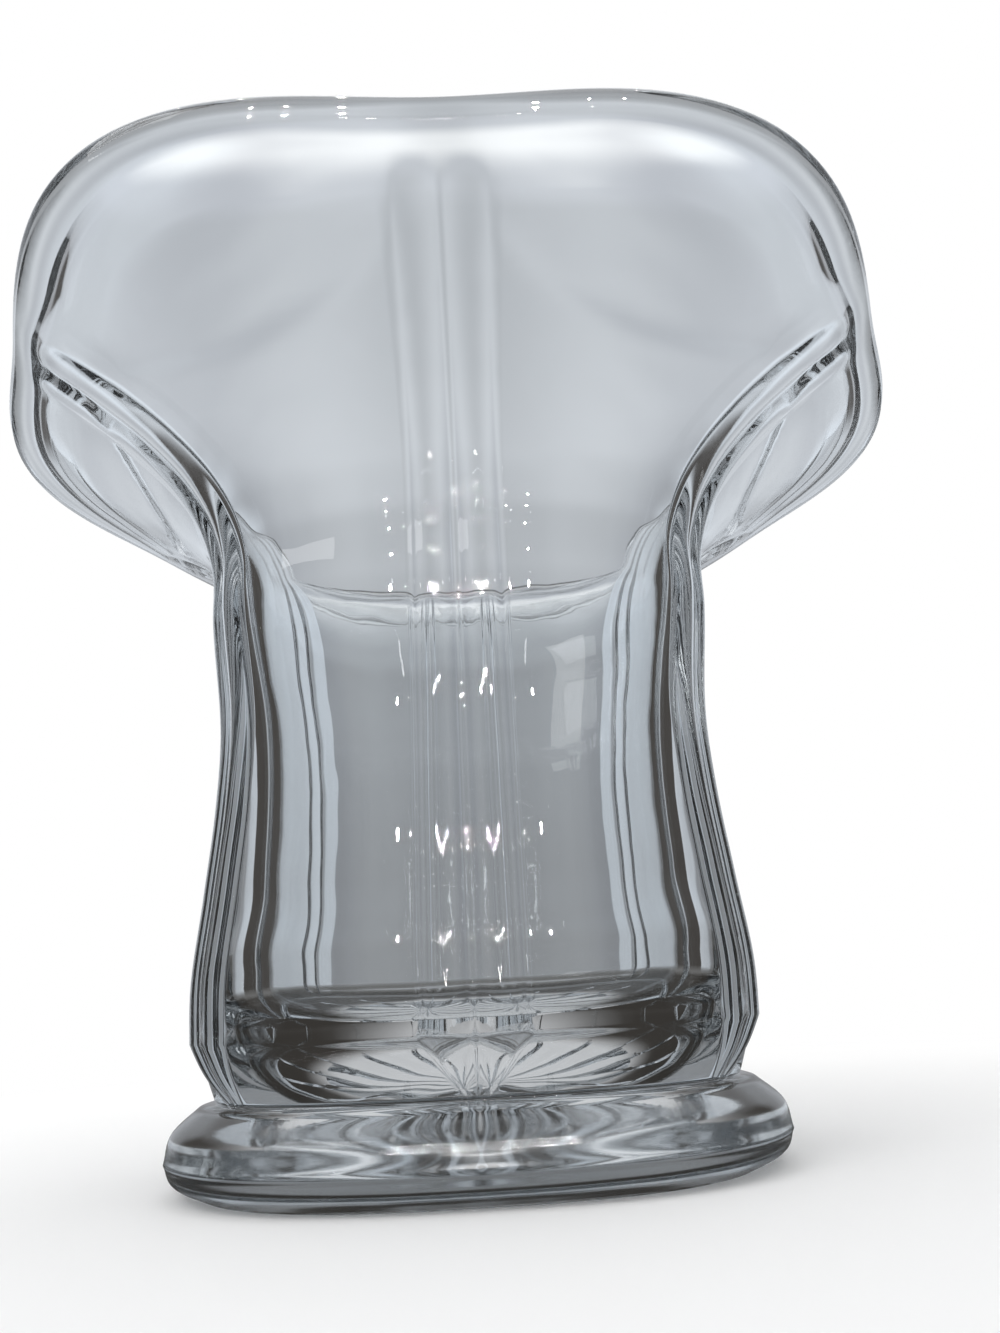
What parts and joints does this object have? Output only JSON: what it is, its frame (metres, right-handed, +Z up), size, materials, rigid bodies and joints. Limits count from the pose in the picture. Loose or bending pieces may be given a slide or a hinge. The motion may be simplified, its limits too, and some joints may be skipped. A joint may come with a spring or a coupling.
{
  "type": "fan vase",
  "caption": "Clear pressed glass vase with flat panels between ridged pillars, a widely flared lobed mouth and a flanged foot with a rayed hollow below.",
  "frame": {"origin": "middle of the foot's resting face", "axes": "+Z up, +X along the wide way of the oval body, -Y the front with its pillar facing the viewer"},
  "size_m": [0.1814, 0.1642, 0.14],
  "materials": {
    "glass": "fire-polished clear pressed glass"
  },
  "bodies": {
    "root": {"foot": "glass", "base": "glass", "rim_lip": "glass", "front_right_panel": "glass", "right_end_panel": "glass", "back_right_panel": "glass", "back_left_panel": "glass", "left_end_panel": "glass", "front_left_panel": "glass", "front_pillar": "glass", "front_right_pillar": "glass", "back_right_pillar": "glass", "back_pillar": "glass", "back_left_pillar": "glass", "front_left_pillar": "glass"}
  },
  "joints": []
}
